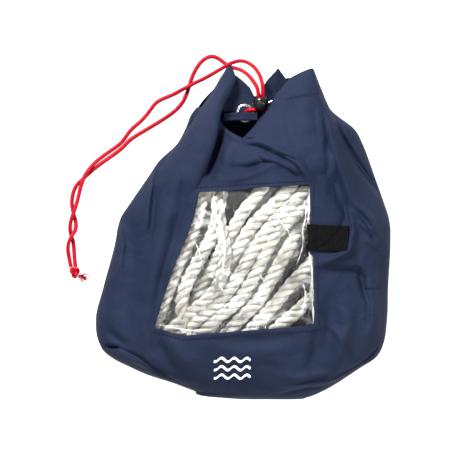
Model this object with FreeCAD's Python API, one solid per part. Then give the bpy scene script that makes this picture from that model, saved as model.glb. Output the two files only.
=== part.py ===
"""Drawstring bag for a coiled rope, lying on its back with its mouth drawn nearly shut.

Millimetres. The origin is the middle of the bag's footprint on the floor, +Z is up, +Y runs
towards the mouth and +X to the right as the window is read.
"""
import FreeCAD, Part
import functools
import math
import os

os.makedirs("parts", exist_ok=True)
V = FreeCAD.Vector

# ---- driving dimensions ----
CLOTH = 1.5                 # wall cloth with its coating and seams
HEM = 2.4                   # turned hem, two layers
FILM = 0.8                  # clear window film
GAP = 0.3                   # clearance between moving pieces and the bag
SPLIT_Z = 22.0              # height where the front and back walls meet
HEM_Y = 112.0               # lower edge of the hem

# Filled bag: distance along the bag, left edge, right edge, underside, crown.
# An underside below zero is cut flat where the bag rests.
STATIONS = [
    (-166.5, -14, 70, 15, 34),
    (-158.5, -50, 78, 5, 50),
    (-148.0, -80, 96, -1, 59),
    (-134.5, -114, 118, -1.5, 66),
    (-118.0, -139, 138, -1.5, 70),
    (-92.0, -148, 146, -1.5, 74),
    (-50.0, -140, 147, -1.5, 76),
    (-5.0, -128, 148, -1.5, 77),
    (26.0, -117, 142, -1.5, 75),
    (58.0, -96, 130, -1.5, 70),
    (90.0, -67, 118, 0, 64),
    (113.5, -54, 100, 4, 60),
    (129.5, -47, 83, 7, 56),
    (145.5, -32, 77, 9, 51),
    (168.0, -18, 70, 12, 42),
]
SECTION_POINTS = 28         # points of one cross-section

# Clear window, seen from above
WINDOW = [(-44, 41.5), (65, 48.5), (64.5, -16), (70.5, -90), (-55, -101), (-88, -93)]
WINDOW_LAP = 8.0            # film sewn behind the cloth

# Free edge of the gathered hem, seen from above, from the left ear to the right one
MOUTH_EDGE = [(-62, 96), (-50, 126.5), (-43, 134), (-29.6, 145.7), (-17, 160.5), (-8, 160),
              (-2.7, 154.3), (8, 145.5), (11.3, 137.5), (19.5, 140), (21.7, 150.3), (34.9, 166.4),
              (43.7, 153.7), (50.5, 157.5), (68, 164), (70, 163.5), (84, 128.6), (125, 96)]

# Sunken middle of the mouth, where the two front eyelets lie
VALLEY_LEFT = -24.0
VALLEY_RIGHT = 44.0
VALLEY_END = 104.0
VALLEY_FLOOR = 35.0         # top of the sunken cloth

# Eyelets
EYELET_R = 10.0
EYELET_HOLE_R = 5.0
EYELET_BARREL = 0.6
EYELET_FLANGE = 0.7
FRONT_EYELETS = [(1.5, 120.5), (30.5, 124.5)]
PLEAT_X = [-36, -26, -16, -6, 10, 20]
PLEAT_CLOTH = 1.6
PLEAT_LOW_Y = 110.0
PLEAT_HIGH_Y = 133.0
PLEAT_TOP = 32.0
PLEAT_EYELET = (122.0, 20.5)   # distance along the bag, height

# Cord and cord lock
CORD = 4.0
LOCK_CENTRE = V(17, 131, 46.5)
LOCK_TILT = 40.0            # the cords rise through the lock towards +Y
LOCK_R = 8.0
LOCK_RIM = 4.6              # height of the flat rim round the button
CORD_SPACING = 4.4
PLUNGER_R = 5.5
PLUNGER_TRAVEL = 2.0
PLUNGER_BOTTOM = -3.1
BORE_R = 5.7
BORE_FLOOR = -5.2
SPRING_POCKET_R = 4.0
SPRING_POCKET_FLOOR = -6.5

# Hook-and-loop tab
TAB = (64.5, 105.5, -17.5, 8.5)     # left, right, low, high
TAB_THICK = 1.4
PATCH = (82.0, 104.5, -16.5, 7.5)
PATCH_THICK = 1.0

# Webbing tab in the mouth
MOUTH_TAB = (-19.5, 14.5, 112.4, 120.6)
MOUTH_TAB_LOW = 38.0
MOUTH_TAB_THICK = 1.5

# Coil of rope
ROPE = 14.0
COIL_CENTRE = V(-4, -34, 3)
COIL_R = 86.0
COIL_STRAIGHT = 34.0
COIL_ANGLE = 57.0
COIL_HEIGHT = 59.0


def save(name, shape):
    """Write one node."""
    shape.exportStep("parts/" + name + ".step")
    print(name, "solids", len(shape.Solids), "valid", shape.isValid(), "volume", round(shape.Volume))


def power(value, exponent):
    """Signed power, for a superellipse."""
    return math.copysign(abs(value) ** exponent, value)


def section(station, inset):
    """Closed cross-section of the filled bag, moved in by inset."""
    y, left, right, low, crown = station
    left, right = left + inset, right - inset
    low, crown = low + inset, crown - inset
    middle, half = (left + right) / 2, (right - left) / 2
    waist = low + 0.34 * (crown - low)
    points = []
    for i in range(SECTION_POINTS):
        turn = 2 * math.pi * (i + 0.5) / SECTION_POINTS
        rise, fall = crown - waist, waist - low
        lift = power(math.sin(turn), 0.85) * rise if math.sin(turn) > 0 else power(math.sin(turn), 0.6) * fall
        points.append(V(middle + half * power(math.cos(turn), 0.8), y, waist + lift))
    curve = Part.BSplineCurve()
    curve.interpolate(points, PeriodicFlag=True)
    return Part.Wire(curve.toShape())


def block(x0, x1, y0, y1, z0, z1):
    """Box between two corners."""
    return Part.makeBox(x1 - x0, y1 - y0, z1 - z0, V(x0, y0, z0))


@functools.cache
def filled(inset):
    """The whole bag as a solid, moved in by inset, with its flat rest on the floor."""
    loft = Part.makeLoft([section(s, inset) for s in STATIONS], True, False)
    return loft.common(block(-200, 200, -180 + inset, 180, max(inset, 0), 120))


def prism(outline, low, high):
    """Straight prism over an outline seen from above."""
    corners = [V(x, y, low) for x, y in outline]
    face = Part.Face(Part.makePolygon(corners + corners[:1]))
    return face.extrude(V(0, 0, high - low))


def grown(outline, by):
    """Outline moved outwards by a distance."""
    corners = [V(x, y, 0) for x, y in outline]
    wire = Part.makePolygon(corners + corners[:1])
    return [(v.X, v.Y) for v in wire.makeOffset2D(by, 2).OrderedVertexes]


def half_space(y_at_floor, slope, side):
    """Large solid before (side -1) or behind (side 1) the tilted plane of the base seam."""
    far = 400 * side
    rim = [V(-250, y_at_floor, 0), V(-250, y_at_floor - slope * 150, 150),
           V(-250, y_at_floor - slope * 150 + far, 150), V(-250, y_at_floor + far, 0)]
    face = Part.Face(Part.makePolygon(rim + rim[:1]))
    return face.extrude(V(500, 0, 0))


def smooth_path(points):
    """Straight runs joined by tangent arcs, each as large as its two runs allow."""
    edges, radii = [], []
    start = points[0]
    for before, corner, after in zip(points, points[1:], points[2:]):
        coming, going = corner - before, after - corner
        turn = coming.getAngle(going)
        reach = 0.45 * min(coming.Length, going.Length)
        radii.append(reach / math.tan(turn / 2))
        coming.normalize()
        going.normalize()
        enter, leave = corner - coming * reach, corner + going * reach
        bisector = going - coming
        bisector.normalize()
        centre = corner + bisector * math.hypot(reach, radii[-1])
        middle = centre - bisector * radii[-1]
        edges.append(Part.LineSegment(start, enter).toShape())
        edges.append(Part.Arc(enter, middle, leave).toShape())
        start = leave
    edges.append(Part.LineSegment(start, points[-1]).toShape())
    return Part.Wire(edges), radii


def cord(name, points):
    """Round cord along a route."""
    points = [V(*p) for p in points]
    path, radii = smooth_path(points)
    ring = Part.Wire(Part.makeCircle(CORD / 2, points[0], points[1] - points[0]))
    tube = path.makePipeShell([ring], True, False)
    expected = path.Length * math.pi * CORD ** 2 / 4
    runs = [(b - a).Length for a, b in zip(points, points[1:])]
    print(name, "length", round(path.Length, 1), "volume ratio", round(tube.Volume / expected, 4),
          "radii", [round(r, 1) for r in radii], "longest run", round(max(runs), 1))
    return tube


# ---- bag walls ----
OUTER = filled(0)
INNER = filled(CLOTH).fuse(block(-15, 65, 160, 175, 18, 36))
HEM_INNER = filled(HEM)
MOUTH_TRIM = prism([(-250, -250), (-250, 96)] + MOUTH_EDGE + [(250, 96), (250, -250)], -10, 120)
SHELL = OUTER.cut(INNER).common(MOUTH_TRIM)
BASE_AT_FLOOR = -70.0
BASE_SLOPE = 1.96
BASE_SIDE = half_space(BASE_AT_FLOOR, BASE_SLOPE, -1)


def band(outer_inset, inner_inset):
    """Layer that follows the bag's wall between two depths."""
    return filled(outer_inset).cut(filled(inner_inset))


def upper(shape, low=SPLIT_Z):
    return shape.common(block(-200, 200, -200, 200, low, 120))


def build_walls():
    """Front wall, back wall and base, cut from one shell along their seams."""
    walls = SHELL.cut(BASE_SIDE).common(block(-200, 200, -200, HEM_Y, -5, 120))
    notch = block(VALLEY_LEFT, VALLEY_RIGHT, VALLEY_END, 200, VALLEY_FLOOR - HEM, 120)
    front = upper(walls).cut(prism(WINDOW, 30, 120)).cut(notch)
    save("front_panel", front)
    save("back_panel", walls.common(block(-200, 200, -200, 200, -5, SPLIT_Z)))
    save("base_panel", SHELL.common(BASE_SIDE))


def eyelet_holes():
    """Drills through the hem at every eyelet."""
    r = EYELET_HOLE_R + EYELET_BARREL
    drills = [Part.makeCylinder(r, 20, V(x, y, VALLEY_FLOOR - 10)) for x, y in FRONT_EYELETS]
    y, z = PLEAT_EYELET
    drills += [Part.makeCylinder(r, 8, V(x - 4, y, z), V(1, 0, 0)) for x in PLEAT_X]
    return Part.makeCompound(drills)


def build_hem():
    """Turned hem with its ears, the sunken middle and the pleats that carry the hidden eyelets."""
    ring = OUTER.cut(HEM_INNER).common(MOUTH_TRIM).common(block(-200, 200, HEM_Y, 200, -5, 120))
    trim = OUTER.common(MOUTH_TRIM)
    low = VALLEY_FLOOR - HEM
    notch = block(VALLEY_LEFT, VALLEY_RIGHT, VALLEY_END, 200, low, 120)
    hollow = block(VALLEY_LEFT + CLOTH, VALLEY_RIGHT - CLOTH, VALLEY_END + CLOTH, 200, VALLEY_FLOOR, 120)
    tray = notch.cut(hollow).common(trim)
    inside = HEM_INNER.common(MOUTH_TRIM)
    hem = ring.cut(notch).fuse(tray)
    for x in PLEAT_X:
        pleat = block(x - PLEAT_CLOTH / 2, x + PLEAT_CLOTH / 2, PLEAT_LOW_Y + 2.5, PLEAT_HIGH_Y, 2, PLEAT_TOP)
        hem = hem.fuse(pleat.common(inside))
    hem = hem.cut(eyelet_holes())
    save("mouth_hem", hem)


def eyelet_half(inner, outer, thick, barrel):
    """Flange on z = 0 with an optional barrel that goes down through the cloth."""
    flange = Part.makeCylinder(outer, thick)
    if barrel:
        flange = flange.fuse(Part.makeCylinder(inner + EYELET_BARREL, barrel, V(0, 0, -barrel)))
    return flange.cut(Part.makeCylinder(inner, thick + barrel + 2, V(0, 0, -barrel - 1)))


def build_eyelets():
    """Eight eyelets, each a flanged barrel with a flat ring behind the cloth."""
    fronts, backs = [], []
    y, z = PLEAT_EYELET
    places = [(V(x, b, VALLEY_FLOOR), 0, HEM) for x, b in FRONT_EYELETS]
    places += [(V(x + PLEAT_CLOTH / 2, y, z), 90, PLEAT_CLOTH) for x in PLEAT_X]
    for place, turn, cloth in places:
        front = eyelet_half(EYELET_HOLE_R, EYELET_R, EYELET_FLANGE, cloth + EYELET_FLANGE)
        back = eyelet_half(EYELET_HOLE_R + EYELET_BARREL, EYELET_R - 0.5, EYELET_FLANGE, 0)
        back.translate(V(0, 0, -cloth - EYELET_FLANGE))
        for shape, group in ((front, fronts), (back, backs)):
            shape.rotate(V(0, 0, 0), V(0, 1, 0), turn)
            shape.translate(place)
            group.append(shape)
    save("eyelets", Part.makeCompound(fronts))
    save("eyelet_washers", Part.makeCompound(backs))


def build_window():
    """Film sewn behind the opening, and the tape that holds its edge."""
    lap = grown(WINDOW, WINDOW_LAP)
    film = band(CLOTH + 0.05, CLOTH + 0.05 + FILM)
    save("window_film", film.common(prism(lap, 30, 120)))
    tape_outer = CLOTH + 0.1 + FILM
    tape = band(tape_outer, tape_outer + 0.8)
    save("window_binding", tape.common(prism(lap, 30, 120)).cut(prism(grown(WINDOW, 1.5), 20, 130)))


def build_seams():
    """Tape over the wall's closing seam and binding round the base seam, both inside."""
    depth = CLOTH + 0.05
    tape = band(depth, depth + 0.9)
    strip = block(12, 24, -54, 100, 0, 18)
    save("side_seam_tape", tape.common(strip))
    slab = half_space(BASE_AT_FLOOR + 6, BASE_SLOPE, -1).cut(half_space(BASE_AT_FLOOR - 6, BASE_SLOPE, -1))
    save("base_seam_binding", tape.common(slab).cut(prism(grown(WINDOW, WINDOW_LAP + 2), 30, 120)))


def build_surface_trim():
    """Pieces sewn on the outside of the wall."""
    patch = band(-PATCH_THICK, -0.02)
    left, right, low, high = PATCH
    save("closure_loop_patch", patch.common(block(left, right, low, high, 30, 120)))
    save("side_patch", patch.common(block(119.8, 137.8, -55.2, -22.5, 25, 120)))
    waves = []
    thread = band(-0.6, -0.02)
    for row in range(3):
        base = -125.0 - 8.5 * row
        top = [(x, base + 2.2 * math.sin(math.pi * x / 9.5)) for x in range(-29, 8, 2)]
        low_edge = [(x, y - 2.0) for x, y in reversed(top)]
        waves.append(thread.common(prism(top + low_edge, 30, 120)))
    save("embroidered_motif", Part.makeCompound(waves))


def build_closure_tab():
    """Hook tab, hinged where it is sewn beside the window."""
    left, right, low, high = TAB
    lift = PATCH_THICK + GAP
    save("closure_tab", band(-lift - TAB_THICK, -lift).common(block(left, right, low, high, 30, 120)))


def build_mouth_tab():
    """Folded webbing tab that lies over the lower half of the left eyelet."""
    left, right, low, high = MOUTH_TAB
    tab = block(left, right, low, high, MOUTH_TAB_LOW, MOUTH_TAB_LOW + MOUTH_TAB_THICK)
    ends = [e for e in tab.Edges if abs(e.CenterOfMass.x - right) < 0.01]
    tab = tab.makeFillet(0.5, ends)
    save("mouth_tab", tab)


def place_lock(shape):
    """From the lock's own frame (cords along +Y, button up) to its place."""
    shape.rotate(V(0, 0, 0), V(1, 0, 0), LOCK_TILT)
    shape.translate(LOCK_CENTRE)
    return shape


def cord_slot(low, high, half_width):
    """Slot along the cords with rounded sides."""
    r = (high - low) / 2
    z = (high + low) / 2
    sides = [Part.makeCylinder(r, 30, V(s * (half_width - r), -15, z), V(0, 1, 0)) for s in (-1, 1)]
    return block(r - half_width, half_width - r, -15, 15, low, high).fuse(sides[0]).fuse(sides[1])


def faceted_spring(radius, wire, low, high, turns, steps=20, sides=6):
    """Compression spring with flat facets, closed at both ends."""
    rings = []
    for i in range(turns * steps + 1):
        angle = 2 * math.pi * i / steps
        out = V(math.cos(angle), math.sin(angle), 0)
        middle = out * radius + V(0, 0, low + (high - low) * i / (turns * steps))
        spots = [2 * math.pi * k / sides for k in range(sides)]
        rings.append([middle + out * (wire * math.cos(t)) + V(0, 0, wire * math.sin(t)) for t in spots])
    triangles = []
    for near, far in zip(rings, rings[1:]):
        for k in range(sides):
            after = (k + 1) % sides
            triangles += [(near[k], near[after], far[k]), (near[after], far[after], far[k])]
    for ring in (rings[0][::-1], rings[-1]):
        triangles += [(ring[0], ring[k], ring[k + 1]) for k in range(1, sides - 1)]
    faces = [Part.Face(Part.makePolygon([*t, t[0]])) for t in triangles]
    shell = Part.makeShell(faces)
    shell.sewShape()
    solid = Part.makeSolid(shell)
    if solid.Volume < 0:
        solid.reverse()
    return solid


def build_cord_lock():
    """Ball body, spring-loaded button with its own cord slot, and the spring."""
    body = Part.makeSphere(LOCK_R).common(block(-9, 9, -9, 9, -9, LOCK_RIM))
    body = body.cut(Part.makeCylinder(BORE_R, 20, V(0, 0, BORE_FLOOR)))
    body = body.cut(Part.makeCylinder(SPRING_POCKET_R, 20, V(0, 0, SPRING_POCKET_FLOOR)))
    body = body.cut(cord_slot(-2.3, 2.3, CORD_SPACING / 2 + 2.3))
    save("cord_lock_body", place_lock(body))
    slot_low, top = -2.15, 7.0
    slot_high = 2.15 + PLUNGER_TRAVEL
    plunger = Part.makeCylinder(PLUNGER_R, top - PLUNGER_BOTTOM, V(0, 0, PLUNGER_BOTTOM))
    rim = [e for e in plunger.Edges if abs(e.CenterOfMass.z - top) < 0.01 and len(e.Vertexes) == 1]
    plunger = plunger.makeFillet(1.2, rim)
    slot = block(-CORD_SPACING / 2 - 2.3, CORD_SPACING / 2 + 2.3, -8, 8, slot_low, slot_high)
    save("cord_lock_plunger", place_lock(plunger.cut(slot)))
    spring = faceted_spring(3.4, 0.25, SPRING_POCKET_FLOOR + 0.35, PLUNGER_BOTTOM - 0.35, 2)
    save("cord_lock_spring", place_lock(spring))


def build_rope():
    """Outer shape of the coil, and the whipped ends of the rope."""
    half = COIL_STRAIGHT / 2
    ends = [Part.makeCylinder(COIL_R, COIL_HEIGHT, V(s * half, 0, 0)) for s in (-1, 1)]
    middle = block(-half, half, -COIL_R, COIL_R, 0, COIL_HEIGHT)
    coil = ends[0].fuse(ends[1]).fuse(middle).removeSplitter()
    rims = [e for e in coil.Edges if e.BoundBox.ZLength < 0.01]
    coil = coil.makeFillet(14.0, rims)
    coil.rotate(V(0, 0, 0), V(0, 0, 1), COIL_ANGLE)
    coil.translate(COIL_CENTRE)
    save("rope_coil", coil)
    radius, length = ROPE / 2 + 0.8, 22.0
    first = Part.makeCylinder(radius, length, V(101, -38, 34), V(0.2, 1, 0))
    second = Part.makeCylinder(radius, length, V(-64, 66, 30), V(1, 0.25, 0))
    save("rope_whippings", Part.makeCompound([first, second]))


# Routes of the drawstring, chosen point by point
RING_ROUTE = [
    (14.8, 138.66, 52.93), (14.8, 124.87, 41.36), (11.3, 123.6, 39.3), (5.2, 123.6, 38.6),
    (1.5, 121.6, 34.0), (1.4, 119.0, 26.5), (0.6, 112.5, 19.8), (-8, 104.5, 17.8),
    (-24, 101.0, 18.0), (-38, 103.5, 19.3), (-46, 110.5, 20.3), (-46, 118.5, 20.5),
    (-38, 122.0, 20.5), (21.0, 122.0, 20.5), (27.4, 122.5, 22.2), (31.0, 123.6, 28.0),
    (30.6, 124.6, 35.5), (26.5, 124.2, 39.6), (21.5, 123.4, 39.9), (19.2, 124.87, 41.36),
    (19.2, 138.66, 52.93)]
TAIL_RIGHT = [
    (19.2, 138.66, 52.93), (19.2, 144.5, 56.6), (18.3, 151.0, 55.5), (15.9, 158.6, 49.0),
    (11.0, 166.5, 40.0), (3.6, 172.4, 29.0), (-4.0, 174.4, 20.0), (-12.5, 172.2, 14.5),
    (-20.5, 167.6, 12.0), (-28.5, 163.2, 7.5), (-39.0, 157.4, 4.6), (-49.0, 152.4, 8.4),
    (-59.0, 147.3, 8.4), (-67.8, 142.6, 3.6), (-75.5, 139.2, 2.4), (-82.5, 136.4, 2.3),
    (-88.6, 133.0, 2.2), (-93.0, 127.3, 2.3), (-98.6, 119.7, 2.2), (-105.3, 112.6, 2.3),
    (-112.4, 107.0, 2.2), (-118.1, 100.2, 2.3), (-122.6, 93.1, 2.2), (-129.5, 87.5, 2.3),
    (-140.0, 80.4, 2.2), (-151.0, 71.8, 4.4), (-160.0, 60.5, 8.0), (-164.2, 49.0, 7.6),
    (-167.2, 37.0, 6.0), (-169.6, 27.0, 8.2), (-173.4, 17.0, 8.2), (-176.0, 8.0, 4.2),
    (-175.6, 0.5, 2.6), (-172.8, -7.5, 2.3), (-171.6, -17.0, 2.2), (-171.4, -26.0, 2.3),
    (-170.3, -34.0, 3.6)]
TAIL_LEFT = [
    (14.8, 138.66, 52.93), (14.2, 144.0, 56.2), (10.4, 150.6, 54.0), (5.4, 157.6, 45.5),
    (-0.5, 163.2, 32.5), (-6.6, 166.4, 18.0), (-12.6, 168.2, 7.6), (-18.6, 172.6, 3.2),
    (-24.6, 177.6, 2.3), (-31.6, 180.4, 2.2), (-38.8, 177.8, 2.3), (-45.4, 171.6, 2.2),
    (-50.6, 162.6, 2.3), (-54.0, 153.0, 2.2), (-56.8, 143.0, 2.3), (-61.6, 132.4, 2.2),
    (-69.8, 123.8, 2.3), (-81.0, 116.0, 2.2), (-93.1, 108.6, 2.3), (-105.0, 101.6, 2.2),
    (-115.0, 95.2, 2.3), (-122.8, 86.6, 2.2), (-132.0, 79.4, 2.3), (-143.0, 72.0, 2.2),
    (-153.4, 64.0, 2.3), (-162.4, 55.6, 2.2), (-169.4, 49.4, 2.3), (-173.2, 40.6, 2.2),
    (-174.4, 30.6, 2.3), (-172.6, 20.6, 2.2), (-169.6, 11.0, 2.3), (-169.8, 4.0, 4.6),
    (-173.0, -1.5, 8.2), (-177.0, -8.5, 8.2), (-178.2, -17.0, 4.2), (-176.6, -26.0, 2.6),
    (-174.9, -34.0, 3.6)]
KNOT = V(-171.0, -39.2, 5.4)


def build_drawstring():
    """The cord's run through the eyelets and the lock, its two tails, and their knot."""
    save("drawstring_ring", cord("drawstring_ring", RING_ROUTE))
    knot = Part.makeSphere(5.2)
    knot = knot.transformGeometry(FreeCAD.Matrix(1.0, 0, 0, KNOT.x, 0, 1.05, 0, KNOT.y, 0, 0, 0.95, KNOT.z))
    for name, route in (("drawstring_tail_right", TAIL_RIGHT), ("drawstring_tail_left", TAIL_LEFT)):
        save(name, cord(name, route).cut(knot))
    save("drawstring_knot", knot)


build_walls()
build_hem()
build_eyelets()
build_window()
build_seams()
build_surface_trim()
build_closure_tab()
build_mouth_tab()
build_cord_lock()
build_rope()
build_drawstring()
box = OUTER.common(MOUTH_TRIM).optimalBoundingBox(False, False)
print("bag box", [round(v, 2) for v in (box.XMin, box.XMax, box.YMin, box.YMax, box.ZMin, box.ZMax)])
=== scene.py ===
"""Looks of a drawstring rope bag that lies on its back: cloth, window, rope, cord and small fittings."""
import math

import bmesh
import bpy
import numpy as np
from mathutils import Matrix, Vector


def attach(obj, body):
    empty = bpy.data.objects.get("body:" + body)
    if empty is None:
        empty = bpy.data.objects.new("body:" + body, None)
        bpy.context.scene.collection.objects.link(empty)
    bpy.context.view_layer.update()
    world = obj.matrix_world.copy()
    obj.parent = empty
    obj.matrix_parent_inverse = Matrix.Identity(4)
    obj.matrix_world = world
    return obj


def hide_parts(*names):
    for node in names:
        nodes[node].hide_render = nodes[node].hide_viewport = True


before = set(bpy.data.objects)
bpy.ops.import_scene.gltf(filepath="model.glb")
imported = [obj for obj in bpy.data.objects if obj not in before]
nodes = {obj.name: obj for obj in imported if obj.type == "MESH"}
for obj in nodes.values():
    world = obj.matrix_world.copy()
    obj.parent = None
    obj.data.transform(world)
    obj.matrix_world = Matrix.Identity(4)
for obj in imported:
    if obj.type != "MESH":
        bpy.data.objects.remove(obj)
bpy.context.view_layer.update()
MM = 0.001


def in_scene(name, data):
    """New object in the scene."""
    obj = bpy.data.objects.new(name, data)
    bpy.context.scene.collection.objects.link(obj)
    return obj


# ---------------------------------------------------------------- camera, light and floor
def add_camera():
    """Long lens straight above the bag."""
    data = bpy.data.cameras.new("camera")
    data.lens = 200.0
    data.sensor_width = 36.0
    cam = in_scene("camera", data)
    cam.location = (-0.016, 0.006, 2.568)
    cam.rotation_euler = (0, 0, 0)
    data.clip_end = 20
    bpy.context.scene.camera = cam


def add_area(name, place, size, power, aim=(0, 0, 0.04)):
    """Soft rectangular light aimed at a point."""
    data = bpy.data.lights.new(name, "AREA")
    data.shape = "RECTANGLE"
    data.size, data.size_y = size
    data.energy = power
    lamp = in_scene(name, data)
    lamp.location = place
    lamp.rotation_euler = (Vector(aim) - Vector(place)).to_track_quat("-Z", "Y").to_euler()


def add_studio():
    """Pale floor, bright surroundings and three soft lights."""
    world = bpy.data.worlds.new("studio")
    bpy.context.scene.world = world
    world.use_nodes = True
    bpy.context.scene.view_settings.view_transform = "Standard"
    sky = world.node_tree.nodes["Background"]
    sky.inputs["Color"].default_value = (1.0, 1.0, 1.0, 1)
    sky.inputs["Strength"].default_value = 0.55
    add_area("key", (-0.55, 1.2, 1.3), (0.5, 0.5), 138)
    add_area("fill", (1.3, -0.4, 1.3), (0.7, 0.7), 30)
    add_area("front", (0.1, -1.3, 1.0), (0.8, 0.5), 25)
    mesh = bpy.data.meshes.new("floor")
    side = 3.0
    corners = [(-side, -side, 0), (side, -side, 0), (side, side, 0), (-side, side, 0)]
    mesh.from_pydata(corners, [], [(0, 1, 2, 3)])
    floor = in_scene("floor", mesh)
    mat, shader = new_material("floor_white")
    set_inputs(shader, 0.9, Base_Color=(0.3, 0.3, 0.3, 1), Emission_Color=(1.0, 1.0, 1.0, 1),
               Emission_Strength=0.85)
    mesh.materials.append(mat)


# ---------------------------------------------------------------- materials
def new_material(name):
    """Material and its principled shader."""
    mat = bpy.data.materials.new(name)
    mat.use_nodes = True
    return mat, mat.node_tree.nodes["Principled BSDF"]


def node(mat, kind, **values):
    """New node; keys are input names or node attributes."""
    made = mat.node_tree.nodes.new(kind)
    for key, value in values.items():
        key = key.replace("_", " ") if key.replace("_", " ") in made.inputs else key
        if key in made.inputs:
            made.inputs[key].default_value = value
        else:
            setattr(made, key, value)
    return made


def link(mat, source, target):
    """Join an output socket to an input socket."""
    mat.node_tree.links.new(source, target)


def place_on(mat):
    """Object coordinates, in metres."""
    return node(mat, "ShaderNodeTexCoord").outputs["Object"]


def texture(mat, kind, coords, **values):
    """Texture node on given coordinates."""
    made = node(mat, f"ShaderNodeTex{kind}", **values)
    link(mat, coords, made.inputs["Vector"])
    return made


def set_inputs(shader, roughness, **values):
    """Set a shader's roughness and its other plain inputs."""
    shader.inputs["Roughness"].default_value = roughness
    for key, value in values.items():
        shader.inputs[key.replace("_", " ")].default_value = value


def ramp(mat, source, stops):
    """Colour ramp with (place, colour) stops."""
    made = mat.node_tree.nodes.new("ShaderNodeValToRGB")
    while len(made.color_ramp.elements) < len(stops):
        made.color_ramp.elements.new(0.5)
    for element, (place, colour) in zip(made.color_ramp.elements, stops):
        element.position = place
        element.color = (*colour, 1)
    link(mat, source, made.inputs["Fac"])
    return made.outputs["Color"]


def bump(mat, shader, height, strength, distance, below=None):
    """Bump from a height, on top of the normal of a wider bump below it."""
    made = node(mat, "ShaderNodeBump", Strength=strength, Distance=distance)
    link(mat, height, made.inputs["Height"])
    if below is not None:
        link(mat, below, made.inputs["Normal"])
    link(mat, made.outputs["Normal"], shader.inputs["Normal"])
    return made.outputs["Normal"]


WEAVE_WAVES = 0.5 / math.pi * 3.14       # wave scale times the thread pitch in metres


def weave_height(mat, pitch, coords):
    """Plain weave: two crossed sine waves, in object space."""
    waves = []
    for direction in ("X", "Y"):
        wave = texture(mat, "Wave", coords, Scale=WEAVE_WAVES / pitch, Distortion=0.4, Detail=0.0,
                       wave_type="BANDS", bands_direction=direction)
        waves.append(wave.outputs["Fac"])
    both = node(mat, "ShaderNodeMath", operation="MULTIPLY")
    link(mat, waves[0], both.inputs[0])
    link(mat, waves[1], both.inputs[1])
    return both.outputs[0]


def cloth_material(name, dark, light, roughness, pitch):
    """Coated woven cloth: faint weave, soft sheen, slow colour drift, crumple and wide drape."""
    mat, shader = new_material(name)
    coords = place_on(mat)
    drift = texture(mat, "Noise", coords, Scale=14.0, Detail=4.0, Roughness=0.6)
    link(mat, ramp(mat, drift.outputs["Fac"], [(0.3, dark), (0.72, light)]), shader.inputs["Base Color"])
    set_inputs(shader, roughness, Specular_IOR_Level=0.04, Sheen_Weight=0.01, Sheen_Roughness=0.42,
           Sheen_Tint=(0.55, 0.65, 0.95, 1))
    crumple = texture(mat, "Noise", coords, Scale=75.0, Detail=5.0, Roughness=0.55, Distortion=0.6)
    drape = texture(mat, "Noise", coords, Scale=21.0, Detail=3.0, Roughness=0.5, Distortion=1.1)
    wide = bump(mat, shader, drape.outputs["Fac"], 0.4, 0.011)
    low = bump(mat, shader, crumple.outputs["Fac"], 0.34, 0.0018, wide)
    bump(mat, shader, weave_height(mat, pitch, coords), 0.5, 0.0002, low)
    return mat


def rope_material():
    """White filament yarns: fine slanting lines from the strands' own coordinates, with random darker beige
    mottling.
    """
    mat, shader = new_material("rope_yarn")
    uv = node(mat, "ShaderNodeTexCoord").outputs["UV"]
    wave = texture(mat, "Wave", uv, Scale=5.2, Distortion=2.5, Detail=2.0, Detail_Scale=1.5,
                   bands_direction="DIAGONAL")
    mottle = texture(mat, "Noise", place_on(mat), Scale=55.0, Detail=5.0)
    colour = ramp(mat, mottle.outputs["Fac"], [(0.32, (0.46, 0.43, 0.37)), (0.6, (0.71, 0.69, 0.65))])
    link(mat, colour, shader.inputs["Base Color"])
    set_inputs(shader, 0.55, Sheen_Weight=0.3)
    bump(mat, shader, wave.outputs["Fac"], 0.5, 0.0007)
    return mat


def dotted_material(name, scale, stops, roughness, shine, strength, distance):
    """Textile of small raised dots: the picks of a braid or the hooks of a tape."""
    mat, shader = new_material(name)
    dots = texture(mat, "Voronoi", place_on(mat), Scale=scale)
    link(mat, ramp(mat, dots.outputs["Distance"], stops), shader.inputs["Base Color"])
    set_inputs(shader, roughness, Specular_IOR_Level=shine)
    bump(mat, shader, dots.outputs["Distance"], strength, distance)
    return mat


def mix(mat, amount, first, second):
    """Mix of two shader nodes."""
    made = node(mat, "ShaderNodeMixShader")
    link(mat, amount, made.inputs["Fac"])
    link(mat, first.outputs[0], made.inputs[1])
    link(mat, second.outputs[0], made.inputs[2])
    return made


def film_material(name, least, most):
    """Clear soft film: see-through and glossy, with milky patches and fine wrinkles."""
    mat, _ = new_material(name)
    mat.node_tree.nodes.clear()
    out = node(mat, "ShaderNodeOutputMaterial")
    clear = node(mat, "ShaderNodeBsdfTransparent", Color=(0.99, 0.99, 0.99, 1))
    gloss = node(mat, "ShaderNodeBsdfGlossy", Roughness=0.07)
    milk = node(mat, "ShaderNodeBsdfDiffuse", Color=(0.93, 0.93, 0.92, 1))
    fresnel = node(mat, "ShaderNodeFresnel", IOR=1.42)
    coords = place_on(mat)
    haze = texture(mat, "Noise", coords, Scale=28.0, Detail=6.0, Roughness=0.62, Distortion=1.4)
    amount = ramp(mat, haze.outputs["Fac"], [(0.54, (least,) * 3), (0.72, (most,) * 3)])
    wrinkle = texture(mat, "Noise", coords, Scale=60.0, Detail=5.0, Roughness=0.6, Distortion=2.0)
    relief = node(mat, "ShaderNodeBump", Strength=0.9, Distance=0.003)
    link(mat, wrinkle.outputs["Fac"], relief.inputs["Height"])
    for target in (gloss, milk, fresnel):
        link(mat, relief.outputs["Normal"], target.inputs["Normal"])
    body = mix(mat, amount, clear, milk)
    coat = mix(mat, fresnel.outputs[0], body, gloss)
    link(mat, coat.outputs[0], out.inputs["Surface"])
    return mat


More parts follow.
